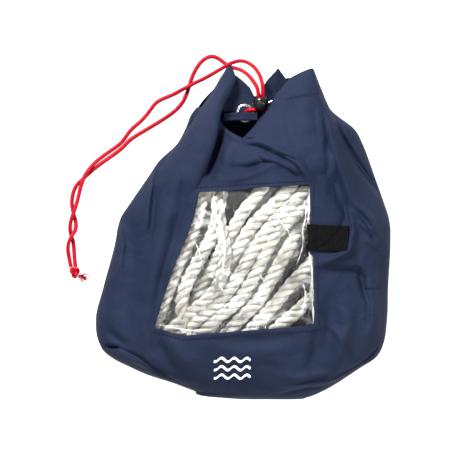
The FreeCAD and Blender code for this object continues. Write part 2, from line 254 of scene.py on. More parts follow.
def plain_material(name, colour, roughness, metal=0.0, grain=0.0, grain_scale=400.0, shine=0.5):
    """Plastic, metal or thread with a fine grain in its colour and relief."""
    mat, shader = new_material(name)
    noise = texture(mat, "Noise", place_on(mat), Scale=grain_scale, Detail=4.0)
    brighter = tuple(min(1.0, c * 1.25 + 0.004) for c in colour)
    darker = tuple(c * 0.8 for c in colour)
    link(mat, ramp(mat, noise.outputs["Fac"], [(0.3, darker), (0.7, brighter)]), shader.inputs["Base Color"])
    set_inputs(shader, roughness, Metallic=metal, Specular_IOR_Level=shine)
    bump(mat, shader, noise.outputs["Fac"], grain, 0.0003)
    return mat


# ---------------------------------------------------------------- mesh helpers
def add_object(name, data, mat):
    """Object in the scene with one material, shaded smooth."""
    obj = in_scene(name, data)
    data.materials.append(mat)
    data.polygons.foreach_set("use_smooth", [True] * len(data.polygons))
    return obj


def grid_mesh(name, points, closed_u=False):
    """Mesh over an array of points, rows by columns; closed_u joins each row's ends."""
    rows, cols, _ = points.shape
    index = np.arange(rows * cols).reshape(rows, cols)
    if closed_u:
        index = np.concatenate([index, index[:, :1]], axis=1)
    quads = np.stack([index[:-1, :-1], index[:-1, 1:], index[1:, 1:], index[1:, :-1]], axis=-1).reshape(-1, 4)
    mesh = bpy.data.meshes.new(name)
    mesh.from_pydata(points.reshape(-1, 3).tolist(), [], quads.tolist())
    mesh.update()
    return mesh


def resample(values, places, wanted):
    """Smooth interpolation (Catmull-Rom with uneven spacing) of rows given at places."""
    values = np.asarray(values, float)
    places = np.asarray(places, float)
    slope = np.empty_like(values)
    step = np.diff(places)
    secant = np.diff(values, axis=0) / step.reshape(-1, *[1] * (values.ndim - 1))
    slope[0], slope[-1] = secant[0], secant[-1]
    for i in range(1, len(places) - 1):
        slope[i] = (secant[i - 1] * step[i] + secant[i] * step[i - 1]) / (step[i] + step[i - 1])
    at = np.clip(np.searchsorted(places, wanted, side="right") - 1, 0, len(places) - 2)
    shape = (-1, *[1] * (values.ndim - 1))
    h = step[at].reshape(shape)
    t = ((wanted - places[at]) / step[at]).reshape(shape)
    return (values[at] * (2 * t**3 - 3 * t**2 + 1) + slope[at] * h * (t**3 - 2 * t**2 + t)
            + values[at + 1] * (3 * t**2 - 2 * t**3) + slope[at + 1] * h * (t**3 - t**2))


def smoothstep(low, high, value):
    """Smooth rise from 0 at low to 1 at high."""
    t = np.clip((value - low) / (high - low), 0, 1)
    return t * t * (3 - 2 * t)


def line_distance(line, x, y):
    """Distance to a polyline and the share of its length at the nearest place."""
    line = np.asarray(line, float)
    runs = np.hypot(*np.diff(line, axis=0).T)
    total = runs.sum()
    best = np.full(np.shape(x), 1e9)
    share = np.zeros(np.shape(x))
    done = 0.0
    for (x0, y0), (x1, y1), run in zip(line, line[1:], runs):
        t = np.clip(((x - x0) * (x1 - x0) + (y - y0) * (y1 - y0)) / run**2, 0, 1)
        distance = np.hypot(x - x0 - t * (x1 - x0), y - y0 - t * (y1 - y0))
        nearer = distance < best
        best = np.where(nearer, distance, best)
        share = np.where(nearer, (done + t * run) / total, share)
        done += run
    return best, share


def taper(share, least, power):
    """Fades to the least share's value at both ends of a line and is 1 in its middle."""
    return np.sin(np.clip(share, least, 1 - least) * math.pi) ** power


def inside_distance(outline, x, y):
    """Signed distance to a closed outline, positive inside."""
    ring = list(outline) + [outline[0]]
    distance, _ = line_distance(ring, x, y)
    inside = np.zeros(np.shape(x), bool)
    for (x0, y0), (x1, y1) in zip(ring, ring[1:]):
        if y0 == y1:
            continue
        crosses = (y0 > y) != (y1 > y)
        inside ^= crosses & (x < (x1 - x0) * (y - y0) / (y1 - y0) + x0)
    return np.where(inside, distance, -distance)


def lumps(x, y, scale, seed):
    """Smooth random relief, from a few sine waves with seeded directions, between -1 and 1."""
    rng = np.random.default_rng(seed)
    total = np.zeros(np.shape(x))
    for _ in range(7):
        angle = rng.uniform(0, 2 * math.pi)
        wave = rng.uniform(0.6, 1.6) * scale
        along = (x * math.cos(angle) + y * math.sin(angle)) * 2 * math.pi / wave
        total += np.sin(along + rng.uniform(0, 6.28))
    return total / 4.5


# ---------------------------------------------------------------- the bag's shape, in millimetres
# distance along the bag, left edge, right edge, underside, crown
STATIONS = np.array([
    (-166.5, -8, 60, 17, 32), (-164.5, -34, 67, 10, 38), (-158.5, -50, 81, 4, 47),
    (-150.5, -71, 95, 1, 55),
    (-142.5, -96, 107, 0, 60), (-134.5, -114, 119, 0, 63), (-126.5, -130, 131.5, 0, 66),
    (-118.5, -140.5, 138, 0, 68), (-110.5, -145, 141, 0, 70), (-86.5, -148.5, 144.5, 0, 73),
    (-54.5, -141, 145.5, 0, 75), (-6.5, -128.5, 147.8, 0, 76), (7, -126.2, 147.6, 0, 75.3),
    (18, -122.4, 145.6, 0, 74.6), (27.5, -116, 142.5, 0, 74), (57.5, -95.5, 132, 0, 69),
    (73.5, -84.5, 126.5, 0, 66), (89.5, -67.5, 120.5, 0, 63), (105.5, -58.5, 111.5, 3, 60),
    (121.5, -51.5, 91, 6, 54), (137.5, -36, 78, 8, 44), (152.0, -20, 60, 11, 36)])
WINDOW = [(-44, 41.5), (-13, 42), (21, 46), (65, 48.5), (66, 16), (64, -4), (64.3, -16.5), (68.4, -23),
          (70.7, -90), (21, -94.6), (-59, -101), (-88.3, -93), (-76, -53), (-66, -25.7),
          (-55.6, -1.6), (-47.6, 22.5)]
VALLEY = [(-24, 112.7), (-13.5, 101.5), (-0.3, 94.3), (11.3, 107), (22.5, 121.5), (31, 138),
          (44, 152), (30, 175),
          (-12, 175), (-22, 130)]
VALLEY_FLOOR = 28.0
VALLEY_DIP = 18             # how far the sunken mouth falls off towards the inside of the bag

WAIST = 0.34               # share of the height at which the wall is widest
FOLD_HEIGHT = 1.3          # factors on the heights and widths listed below
FOLD_WIDTH = 0.82
WINDOW_LOW = 45            # the window is cut only in cloth higher than this
CLOTH_THICK = 0.9          # drawn thickness of the cloth
CAP_CENTRE = (0.026, 0.024)  # middle of the base's end ring, X and Z in metres

# folds of the cloth: route, width, height (negative for a crease)
FOLDS = [
    ([(-65, 92), (-72, 76), (-80, 60)], 5, -5),
    ([(-57, 84), (-64, 58), (-73, 33), (-80, 4), (-88, -25), (-93, -58), (-98, -88), (-96, -118),
      (-84, -138)], 9, 6),
    ([(-80, 86), (-89, 64), (-94, 33), (-96, 4)], 2.6, 3.2),
    ([(-76, 78), (-84, 54), (-89, 28), (-92, -10), (-98, -44)], 4.5, -4),
    ([(-106, 46), (-112, 10), (-110, -30), (-116, -70), (-120, -104)], 13, -6),
    ([(-60, 30), (-68, 0), (-78, -34), (-86, -66)], 4, -3.5),
    ([(-45, 96), (-54, 60), (-60, 30)], 6, -3),
    ([(-15, 124), (-19, 106), (-23.5, 92), (-30.5, 70), (-36, 51)], 6.0, -14),
    ([(-12, 92), (-16, 74), (-17, 58)], 7, 2.5),
    ([(-0.3, 94), (6, 90.5), (14, 89.5), (24, 86), (29.5, 80.5)], 3, -6),
    ([(3, 96), (14, 94), (28, 87), (40, 78), (52, 70), (65, 56)], 3.4, 4.2),
    ([(30, 80), (38, 74), (50, 62), (58, 52)], 3.0, -4.5),
    ([(-14, 66), (2, 65), (18, 69), (27, 75), (29, 82)], 3.2, -4.5),
    ([(-24, 54), (-12, 53), (2, 56), (20, 64), (34, 70)], 3.4, 3.2),
    ([(30, 66), (40, 60), (56, 57)], 4, -3),
    ([(40, 128), (54, 133.5), (66, 136), (78, 136)], 2.2, -1.6),
    ([(78, 124), (80, 108), (81, 92), (79, 74)], 4, -5),
    ([(-38, 136), (-46, 124), (-52, 108), (-58, 96)], 3.2, -5),
    ([(40, 108), (52, 84), (60, 62), (66, 50)], 8, 4),
    ([(76.5, 134), (86.5, 97.5), (93.5, 72.5), (106.5, 37.5), (122.5, 12.5), (132.5, -5.5)], 7, 6),
    ([(88, 124), (97, 98), (112, 74), (123, 58), (138.5, 38)], 4, -9),
    ([(84, 84), (90, 55), (98, 28), (100, 14)], 7, -4),
    ([(70, -31), (88, -25), (104, -17), (109, 4), (105, 18), (99, 30)], 4.2, 5.5),
    ([(74, -37), (96, -36), (114, -38), (119, -46), (119, -62)], 5, -5.5),
    ([(115, 29.5), (127, 14), (133, 0)], 4, 4),
    ([(107, 17), (119, 8), (129, -1)], 4, 4),
    ([(112, 24), (123, 9), (131, -8)], 3.5, -4),
    ([(120, -4), (133, -15)], 4, 3.5),
    ([(100, -70), (104, -90), (99.5, -104), (94.5, -126), (86, -140)], 8, 5),
    ([(84, -60), (86, -90), (80, -116), (70, -136)], 9, -4),
    ([(124, -62), (130, -86), (124, -108)], 10, 5),
    ([(72, -92), (71, -112), (66, -134)], 6, -4),
    ([(-90, -96), (-84, -112), (-74, -128), (-60, -142)], 7, -4),
    ([(-70, -104), (-62, -120), (-48, -134)], 8, 3),
    ([(-40, -104), (-10, -108), (30, -106), (60, -100)], 7, -2.5),
    ([(-30, -112), (10, -117), (50, -112)], 9, 2),
    ([(-138, -96), (-124, -106), (-112, -114)], 6, -4),
    ([(-142, -111), (-120, -116), (-104, -123), (-91, -133), (-77, -142), (-56, -154)], 2.4, -3.0),
    ([(-136, -117), (-118, -122), (-101, -130), (-86, -141), (-66, -153)], 3.0, 2.2),
    ([(136, -112), (124, -125), (108, -135), (92, -143)], 2.4, -2.6),
    ([(98, 34), (101, 22), (104, 10)], 3.0, -4),
    ([(50, -150), (62, -147), (76, -145), (88, -141)], 2.2, -2.4),
    ([(24, -160), (46, -154), (66, -150), (86, -148), (104, -138), (122, -127)], 2.4, 2.8),
    ([(40, -159), (62, -155), (84, -153)], 2.0, -2.6),
    ([(72, -70), (76, -84), (90, -96), (101, -112)], 2.6, 2.6),
    ([(-139, -112), (-131, -114), (-122, -113)], 2.2, -4.5),
    ([(-128, 22), (-122, 8), (-120, -12), (-124, -40)], 3.0, 2.6),
    ([(70, -18), (84, -10), (96, 4), (101, 20)], 2.6, -3.2),
    ([(112, -20), (116, -44), (124, -70), (123, -96)], 3.2, -3.2),
    ([(30, -138), (52, -144), (84, -140), (104, -130)], 6, 3),
]


def body_row(y):
    """Left edge, right edge, underside and crown at a distance along the bag."""
    return resample(STATIONS[:, 1:], STATIONS[:, 0], np.atleast_1d(np.asarray(y, float)))


def crown_height(x, y):
    """Height of the upper cloth before folds."""
    row = body_row(np.ravel(y))
    left, right, low, crown = (row[:, i].reshape(np.shape(y)) for i in range(4))
    across = np.clip(np.abs((x - (left + right) / 2) / ((right - left) / 2)), 0, 1)
    waist = low + WAIST * (crown - low)
    return waist + (crown - waist) * (1 - across**2.5) ** 0.43


def fold_relief(x, y):
    """Height added by the folds, creases and the sag between them."""
    relief = 1.6 * lumps(x, y, 60, 3) + 0.4 * lumps(x, y, 26, 5)
    for route, width, height in FOLDS:
        distance, share = line_distance(route, x, y)
        fade = FOLD_HEIGHT * height * taper(share, 0.02, 0.6)
        relief = relief + fade * np.exp(-(distance / (FOLD_WIDTH * width)) ** 2)
    return relief


def top_height(x, y):
    """Height of the upper cloth with folds and the sunken mouth."""
    z = crown_height(x, y) + fold_relief(x, y)
    depth = inside_distance(VALLEY, x, y)
    floor = VALLEY_FLOOR - VALLEY_DIP * smoothstep(113, 105, y)
    sunk = smoothstep(-0.8, 2.2, depth)
    lip = 2.5 * np.exp(-((depth + 3) / 3.0) ** 2)
    return (z + lip) * (1 - sunk) + floor * sunk


def body_points(ys, turns):
    """Grid of points over the whole closed wall."""
    row = body_row(ys)
    left, right, low, crown = (row[:, i:i + 1] for i in range(4))
    waist = low + WAIST * (crown - low)
    cos, sin = np.cos(turns)[None, :], np.sin(turns)[None, :]
    x = (left + right) / 2 + (right - left) / 2 * np.sign(cos) * np.abs(cos) ** 0.8
    y = np.repeat(ys[:, None], len(turns), axis=1)
    upper = top_height(x, y)
    plain = crown_height(x, y)
    blend = smoothstep(0.0, 0.35, sin * np.ones_like(x))
    z_up = plain * (1 - blend) + upper * blend
    z_down = waist - (waist - low) * np.abs(sin) ** 0.5
    z = np.where(sin > 0, z_up, z_down)
    return np.stack([x, y, z], axis=-1)


def cut_along(bm, outline, low, reach=6):
    """Cut the faces above a height, within a reach of each side of an outline, along that side."""
    ring = list(outline) + [outline[0]]
    for (x0, y0), (x1, y1) in zip(ring, ring[1:]):
        lows = (min(x0, x1) - reach, min(y0, y1) - reach, low)
        highs = (max(x0, x1) + reach, max(y0, y1) + reach, math.inf)
        faces = [f for f in bm.faces
                 if all(a < c / MM < b for a, c, b in zip(lows, f.calc_center_median(), highs))]
        geom = faces + list({e for f in faces for e in f.edges}) + list({v for f in faces for v in f.verts})
        normal = Vector((y1 - y0, x0 - x1, 0)).normalized()
        bmesh.ops.bisect_plane(bm, geom=geom, plane_co=(x0 * MM, y0 * MM, 0), plane_no=normal, dist=1e-6)


def remove_inside(bm, outline, low):
    """Delete the faces above a height whose middles lie inside an outline."""
    middles = np.array([f.calc_center_median()[:] for f in bm.faces]) / MM
    inside = (inside_distance(outline, middles[:, 0], middles[:, 1]) > 0) & (middles[:, 2] > low)
    bmesh.ops.delete(bm, geom=[f for f, gone in zip(bm.faces, inside) if gone], context="FACES")


def mend(mesh, fill=False, weld=False):
    """Fill open ends, weld doubled points and turn the faces outwards."""
    bm = bmesh.new()
    bm.from_mesh(mesh)
    if fill:
        bmesh.ops.holes_fill(bm, edges=[e for e in bm.edges if e.is_boundary], sides=0)
    if weld:
        bmesh.ops.remove_doubles(bm, verts=bm.verts, dist=1e-6)
    bmesh.ops.recalc_face_normals(bm, faces=bm.faces)
    bm.to_mesh(mesh)
    bm.free()


def thread_mesh(name, threads, mat, first_cap_out=True):
    """Separate short threads, each a list of six-sided rings of points in millimetres."""
    verts, faces = [], []
    for rings in threads:
        start = len(verts)
        verts += [point for ring in rings for point in ring]
        last = start + 6 * (len(rings) - 1)
        for first in range(start, last, 6):
            for j in range(6):
                a, b = first + j, first + (j + 1) % 6
                faces.append((a, b, b + 6, a + 6))
        first_cap = tuple(range(start, start + 6))
        faces.append(first_cap[::-1] if first_cap_out else first_cap)
        faces.append(tuple(range(last, last + 6)))
    mesh = bpy.data.meshes.new(name)
    mesh.from_pydata((np.array(verts) * MM).tolist(), [], faces)
    mesh.update()
    return add_object(name, mesh, mat)


def solidify(obj, thickness, offset=-1.0):
    """Give a surface its cloth thickness."""
    mod = obj.modifiers.new("thickness", "SOLIDIFY")
    mod.thickness = thickness
    mod.offset = offset
    apply_modifiers(obj)


def apply_modifiers(obj):
    """Put the modifiers' result in the mesh."""
    graph = bpy.context.evaluated_depsgraph_get()
    made = bpy.data.meshes.new_from_object(obj.evaluated_get(graph))
    old = obj.data
    obj.modifiers.clear()
    obj.data = made
    bpy.data.meshes.remove(old)
    made.polygons.foreach_set("use_smooth", [True] * len(made.polygons))


def build_body(mat):
    """Wall and base as one crumpled shell with the window cut out of it."""
    spans = ((-166.5, -150, 16), (-148.3, 86, 124), (87.4, 127, 32))
    ys = np.concatenate([np.linspace(*span) for span in spans])
    turns = np.linspace(0, 2 * math.pi, 300, endpoint=False)
    points = body_points(ys, turns)
    mesh = grid_mesh("bag_wall", points * MM, closed_u=True)
    bm = bmesh.new()
    bm.from_mesh(mesh)
    end = [v for v in bm.verts if v.co.y < (ys[0] + 0.01) * MM]
    cap = bm.faces.new(sorted(end, key=lambda v: math.atan2(v.co.z - CAP_CENTRE[1], v.co.x - CAP_CENTRE[0])))
    bmesh.ops.triangulate(bm, faces=[cap])
    cut_along(bm, WINDOW, WINDOW_LOW)
    remove_inside(bm, WINDOW, WINDOW_LOW)
    bmesh.ops.recalc_face_normals(bm, faces=bm.faces)
    bm.to_mesh(mesh)
    bm.free()
    obj = add_object("bag_wall", mesh, mat)
    solidify(obj, CLOTH_THICK * MM)
    return obj


def sheet_from_rails(name, rails, mat, across, along, relief, seed, scale=22, creases=()):
    """Cloth surface through rails: each rail is a list of (x, y, z), all with as many points."""
    rails = np.array(rails, float)
    full = rails.transpose(1, 0, 2)
    for wanted in (along, across):
        full = resample(full, np.linspace(0, 1, len(full)), np.linspace(0, 1, wanted)).transpose(1, 0, 2)
    full = full.transpose(1, 0, 2)
    full[..., 2] += relief * lumps(full[..., 0], full[..., 1], scale, seed)
    for route, width, height in creases:
        distance, share = line_distance(route, full[..., 0], full[..., 1])
        full[..., 2] += height * taper(share, 0.03, 0.5) * np.exp(-(distance / width) ** 2)
    mesh = grid_mesh(name, full * MM)
    obj = add_object(name, mesh, mat)
    solidify(obj, CLOTH_THICK * MM, 0.0)
    return obj


# ---------------------------------------------------------------- the object's own materials
navy = cloth_material("navy_cloth", (0.0047, 0.0074, 0.0175), (0.0088, 0.0126, 0.0275), 0.62, 0.0006)
webbing = cloth_material("navy_webbing", (0.0040, 0.0062, 0.0145), (0.0076, 0.0106, 0.0230), 0.62, 0.0011)
red = dotted_material("red_braid", 900.0, [(0.1, (0.31, 0.0014, 0.010)), (0.75, (0.17, 0.0008, 0.005))],
                      0.5, 0.06, 0.5, 0.0004)
yarn = rope_material()
film_clear = film_material("clear_film", 0.004, 0.26)
# milky white film of the curls (0.3 to 0.5 diffuse white): painted highlight for the film's glints
film_painted_highlight = film_material("painted_highlight_film", 0.3, 0.5)
hooks_black = dotted_material("hook_tape", 850.0, [(0.15, (0.004, 0.004, 0.0045)), (0.7, (0.001,) * 3)],
                              0.85, 0.03, 0.8, 0.0008)
nickel = plain_material("nickel", (0.52, 0.51, 0.50), 0.18, metal=1.0, grain=0.02)
black_plastic = plain_material("black_plastic", (0.003, 0.003, 0.0033), 0.28, grain=0.12, shine=0.22)
steel = plain_material("spring_wire", (0.5, 0.5, 0.5), 0.3, metal=1.0, grain=0.02)
# navy stitching thread: its own navy, darkened below the cloth as painted shade of the seams' fold lines
thread_navy_shaded, thread_black = (
    plain_material(name, colour, 0.7, grain=0.4, grain_scale=900.0, shine=0.05)
    for name, colour in (("navy_thread_shaded", (0.0012, 0.0020, 0.0050)), ("black_thread", (0.006, 0.006, 0.0065))))
thread_white = plain_material("white_thread", (0.8, 0.8, 0.8), 0.6, grain=0.5, grain_scale=900.0)


# ---------------------------------------------------------------- window film
def film_height(x, y):
    """Height of the film before its small wrinkles."""
    return crown_height(x, y) + 0.5 * fold_relief(x, y) - 1.6


WRINKLES = 120             # random wrinkles of the film
TAB_SPOT = (65.5, -4.5)    # where the film lies low under the tab
TAB_DIP = 2.8


def build_film(mat):
    """Crumpled clear film over the window, tucked under the cloth's edge."""
    cells, tuck = 260, 0.02
    u = np.linspace(-tuck, 1 + tuck, cells)[None, :]
    v = np.linspace(-tuck, 1 + tuck, cells)[:, None]
    left = resample([(-92, -95), (-76, -53), (-66, -26), (-55, -1), (-46, 24), (-42, 44)],
                    [0, 0.3, 0.5, 0.68, 0.86, 1], v[:, 0])
    right = resample([(72, -92), (69, -22), (66, 10), (67, 50)], [0, 0.5, 0.72, 1], v[:, 0])
    x = left[:, :1] * (1 - u) + right[:, :1] * u
    y = left[:, 1:] * (1 - u) + right[:, 1:] * u - 4 * np.sin(math.pi * np.clip(u, 0, 1)) * (1 - 2 * v)
    base = film_height(x, y)
    rng = np.random.default_rng(11)
    relief = np.zeros_like(x)
    for _ in range(WRINKLES):
        cx, cy = rng.uniform(-85, 70), rng.uniform(-98, 45)
        angle = rng.normal(math.radians(62), 0.75)
        length, width = rng.uniform(6, 34), rng.uniform(0.7, 2.0)
        dx, dy = x - cx, y - cy
        along_it = dx * math.cos(angle) + dy * math.sin(angle)
        across_it = -dx * math.sin(angle) + dy * math.cos(angle) + 0.004 * along_it**2 * rng.normal()
        relief += rng.uniform(0.4, 1.5) * rng.choice([-1, 1]) * np.exp(
            -(along_it / length) ** 2 - (across_it / width) ** 2)
    for route, width, height in [([(66, 46), (63, 20), (61, -10), (66, -40), (67, -88)], 2.2, 2.4),
                                 ([(60, 40), (57, 12), (60, -20)], 1.6, -1.6),
                                 ([(-46, -25), (-30, -46), (-8, -75)], 1.8, 1.8),
                                 ([(-30, 40), (-22, 10), (-18, -30)], 2.0, 1.4)]:
        distance, _ = line_distance(route, x, y)
        relief += height * np.exp(-(distance / width) ** 2)
    edge = np.minimum.reduce([np.broadcast_to(q, x.shape) for q in (u, 1 - u, v, 1 - v)])
    under_tab = np.exp(-((x - TAB_SPOT[0]) / 6) ** 2 - ((y - TAB_SPOT[1]) / 14) ** 4)
    z = base + relief * smoothstep(-tuck, 0.06, edge) * (1 - under_tab) - TAB_DIP * under_tab
    mesh = grid_mesh("window_sheet", np.stack([x, y, z], axis=-1) * MM)
    return add_object("window_sheet", mesh, mat)


def film_ribbons(mat):
    """Raised curls of the film, milky white as a painted highlight for its glints, strongest beside the tab.
    """
    parts = []
    for count, (route, half, lift) in enumerate([
            ([(66.2, 47), (64.8, 34), (64.3, 21), (63.4, 10)], 1.7, 0.9),
            ([(64.5, -18), (66.6, -30), (67.4, -44), (66.8, -58), (68.6, -76), (69, -89)], 1.3, 0.9),
            ([(59.5, 30), (61.5, 22), (60.5, 12), (58.2, 3), (60.2, -9)], 0.8, 0.9),
            ([(56.8, 2), (58.5, -10), (55.6, -22), (52.0, -31)], 0.5, 0.9),
            ([(-46, -25), (-38, -37), (-30, -44), (-20, -57), (-9, -72)], 0.6, 0.8),
            ([(-30, 39), (-27, 20), (-21, 2), (-19, -18), (-20, -34)], 1.9, 0.7),
            ([(-52, 0), (-44, -18), (-40, -36)], 0.6, 0.7),
            ([(24, 28), (33, 16), (44, 2), (47, -8)], 0.6, 0.7),
            ([(-85, -90), (-70, -93), (-52, -96), (-32, -95)], 0.8, 0.7),
            ([(14, -36), (22, -52), (24, -66)], 0.5, 0.7),
            ([(58, -46), (61, -62), (57, -80)], 0.7, 0.7)]):
        route = np.array(route, float)
        line = resample(route, np.arange(len(route)), np.linspace(0, len(route) - 1, 120))
        way = np.gradient(line, axis=0)
        way /= np.linalg.norm(way, axis=1)[:, None]
        side = np.stack([-way[:, 1], way[:, 0]], axis=1)
        share = np.linspace(0, 1, 120)
        wide = half * taper(share, 0.01, 0.4) * (1 + 0.3 * np.sin(share * 23 + count))
        rows = []
        for place in np.linspace(-1, 1, 9):
            point = line + side * (place * wide)[:, None]
            z = film_height(point[:, 0], point[:, 1]) + lift * (1 - place**2) + 0.25
            rows.append(np.column_stack([point, z]))
        mesh = grid_mesh(f"ribbon_{count}", np.array(rows) * MM)
        parts.append(add_object(f"ribbon_{count}", mesh, mat))
    return parts


# ---------------------------------------------------------------- cords and rope
def nurbs_curve(control):
    """Smooth NURBS curve along a route in millimetres."""
    curve = bpy.data.curves.new("route", "CURVE")
    curve.dimensions = "3D"
    spline = curve.splines.new("NURBS")
    spline.points.add(len(control) - 1)
    for point, place in zip(spline.points, control):
        point.co = (*[c * MM for c in place], 1)
    spline.order_u = 3
    spline.use_endpoint_u = True
    spline.resolution_u = 8
    return curve


def read_line(curve):
    """The points of a curve's own line."""
    holder = in_scene("reader", curve)
    bpy.context.view_layer.update()
    line = bpy.data.meshes.new_from_object(holder)
    points = np.array([v.co[:] for v in line.vertices])
    bpy.data.objects.remove(holder)
    bpy.data.meshes.remove(line)
    return points


def lengths(points):
    """Length of a line from its start to each of its points."""
    return np.concatenate([[0], np.cumsum(np.linalg.norm(np.diff(points, axis=0), axis=1))])


def even(points, step):
    """Points at even spacing along a line."""
    runs = np.linalg.norm(np.diff(points, axis=0), axis=1)
    keep = np.concatenate([[True], runs > 1e-7])
    points = points[keep]
    reach = lengths(points)
    wanted = np.linspace(0, reach[-1], max(2, int(reach[-1] / step)))
    return np.stack([np.interp(wanted, reach, points[:, i]) for i in range(3)], axis=1)


def line_frames(line):
    """Tangent and two crosswise directions along a line, without sudden twists."""
    tangent = np.gradient(line, axis=0)
    tangent /= np.linalg.norm(tangent, axis=1)[:, None]
    first = np.cross(tangent[0], (0, 0, 1.0))
    first /= np.linalg.norm(first)
    normals = [first]
    for t in tangent[1:]:
        n = normals[-1] - t * np.dot(normals[-1], t)
        normals.append(n / np.linalg.norm(n))
    normals = np.array(normals)
    return tangent, normals, np.cross(tangent, normals)


def strand_tubes(name, line, mat, strands, helix_r, strand_r, lay, sides):
    """Twisted strands round a line, with yarn coordinates for the material."""
    _, normal, other = line_frames(line)
    reach = lengths(line)
    verts, faces, uvs = [], [], []
    for strand in range(strands):
        phase = 2 * math.pi * (reach / lay + strand / strands)
        out = normal * np.cos(phase)[:, None] + other * np.sin(phase)[:, None]
        centre = line + out * helix_r
        side = np.gradient(centre, axis=0)
        side /= np.linalg.norm(side, axis=1)[:, None]
        cross = np.cross(side, out)
        start = sum(len(v) for v in verts)
        angles = 2 * math.pi * np.arange(sides) / sides
        ring = (centre[:, None] + out[:, None] * (np.cos(angles)[None, :, None] * strand_r)
                + cross[:, None] * (np.sin(angles)[None, :, None] * strand_r))
        verts.append(ring.reshape(-1, 3))
        n = len(line)
        index = start + np.arange(n * sides).reshape(n, sides)
        wrapped = np.concatenate([index, index[:, :1]], axis=1)
        quads = np.stack([wrapped[:-1, :-1], wrapped[:-1, 1:], wrapped[1:, 1:], wrapped[1:, :-1]], axis=-1)
        faces += quads.reshape(-1, 4).tolist()
        faces.append(index[0][::-1].tolist())
        faces.append(index[-1].tolist())
        u = np.arange(sides + 1) / sides
        v = reach / strand_r
        corner = np.stack(np.broadcast_arrays(u[None, :], v[:, None]), -1)
        quad_uv = np.stack([corner[:-1, :-1], corner[:-1, 1:], corner[1:, 1:], corner[1:, :-1]], axis=-2)
        uvs.append(quad_uv.reshape(-1, 2))
        uvs.append(np.zeros((2 * sides, 2)))
    mesh = bpy.data.meshes.new(name)
    mesh.from_pydata(np.concatenate(verts).tolist(), [], faces)
    layer = mesh.uv_layers.new(name="yarn")
    layer.data.foreach_set("uv", np.concatenate(uvs).astype(np.float32).ravel())
    mesh.update()
    return add_object(name, mesh, mat)


# routes of the drawstring, in millimetres, as the part has them
TAIL_RIGHT = [
    (19.2, 138.66, 52.93), (19.2, 144.5, 56.6), (18.3, 151.0, 55.5), (15.9, 158.6, 49.0),
    (11.0, 166.5, 40.0), (3.6, 172.4, 29.0), (-4.0, 174.4, 20.0), (-12.5, 172.2, 14.5),
    (-20.5, 167.6, 12.0), (-28.5, 163.2, 7.5), (-39.0, 157.4, 4.6), (-49.0, 152.4, 8.4),
    (-59.0, 147.3, 8.4), (-67.8, 142.6, 3.6), (-75.5, 139.2, 2.4), (-82.5, 136.4, 2.3),
    (-88.6, 133.0, 2.2), (-93.0, 127.3, 2.3), (-98.6, 119.7, 2.2), (-105.3, 112.6, 2.3),
    (-112.4, 107.0, 2.2), (-118.1, 100.2, 2.3), (-122.6, 93.1, 2.2), (-129.5, 87.5, 2.3),
    (-140.0, 80.4, 2.2), (-151.0, 71.8, 4.4), (-160.0, 60.5, 8.0), (-164.2, 49.0, 7.6),
    (-167.2, 37.0, 6.0), (-169.6, 27.0, 8.2), (-173.4, 17.0, 8.2), (-176.0, 8.0, 4.2),
    (-175.6, 0.5, 2.6), (-172.8, -7.5, 2.3), (-171.6, -17.0, 2.2), (-171.4, -26.0, 2.3),
    (-170.3, -34.0, 3.6)]
TAIL_LEFT = [
    (14.8, 138.66, 52.93), (14.2, 144.0, 56.2), (10.4, 150.6, 54.0), (5.4, 157.6, 45.5),
    (-0.5, 163.2, 32.5), (-6.6, 166.4, 18.0), (-12.6, 168.2, 7.6), (-18.6, 172.6, 3.2),
    (-24.6, 177.6, 2.3), (-31.6, 180.4, 2.2), (-38.8, 177.8, 2.3), (-45.4, 171.6, 2.2),
    (-50.6, 162.6, 2.3), (-54.0, 153.0, 2.2), (-56.8, 143.0, 2.3), (-61.6, 132.4, 2.2),
    (-69.8, 123.8, 2.3), (-81.0, 116.0, 2.2), (-93.1, 108.6, 2.3), (-105.0, 101.6, 2.2),
    (-115.0, 95.2, 2.3), (-122.8, 86.6, 2.2), (-132.0, 79.4, 2.3), (-143.0, 72.0, 2.2),
    (-153.4, 64.0, 2.3), (-162.4, 55.6, 2.2), (-169.4, 49.4, 2.3), (-173.2, 40.6, 2.2),
    (-174.4, 30.6, 2.3), (-172.6, 20.6, 2.2), (-169.6, 11.0, 2.3), (-169.8, 4.0, 4.6),
    (-173.0, -1.5, 8.2), (-177.0, -8.5, 8.2), (-178.2, -17.0, 4.2), (-176.6, -26.0, 2.6),
    (-174.9, -34.0, 3.6)]
RING_ROUTE = [
    (14.8, 138.66, 52.93), (14.8, 124.87, 41.36), (11.3, 123.6, 39.3), (5.2, 123.6, 38.6),
    (1.5, 121.6, 34.0), (1.4, 119.0, 26.5), (0.6, 112.5, 19.8), (-8, 104.5, 17.8),
    (-24, 101.0, 18.0), (-38, 103.5, 19.3), (-46, 110.5, 20.3), (-46, 118.5, 20.5),
    (-38, 122.0, 20.5), (21.0, 122.0, 20.5), (27.4, 122.5, 22.2), (31.0, 123.6, 28.0),
    (30.6, 124.6, 35.5), (26.5, 124.2, 39.6), (21.5, 123.4, 39.9), (19.2, 124.87, 41.36),
    (19.2, 138.66, 52.93)]
CORD_R = 2.0
KNOT = (-171.0, -39.2, 5.0)
KNOT_CORD_R = 1.75         # the cord is pulled thinner in the knot
FRAY_ROOT = (-166.5, -43.0, 4.0)
FRAY_COUNT = 26
FRAY_R = 0.24
FRAY_WAY = -0.45           # direction of the frayed ends, in radians
UNTWISTED = 10.0           # lay so long that a single strand does not turn


def build_cord(name, route, mat):
    """One stretch of the red cord."""
    curve = nurbs_curve(route)
    curve.name = name
    curve.bevel_depth = CORD_R * MM
    curve.bevel_resolution = 5
    curve.use_fill_caps = True
    curve.materials.append(mat)
    return in_scene(name, curve)


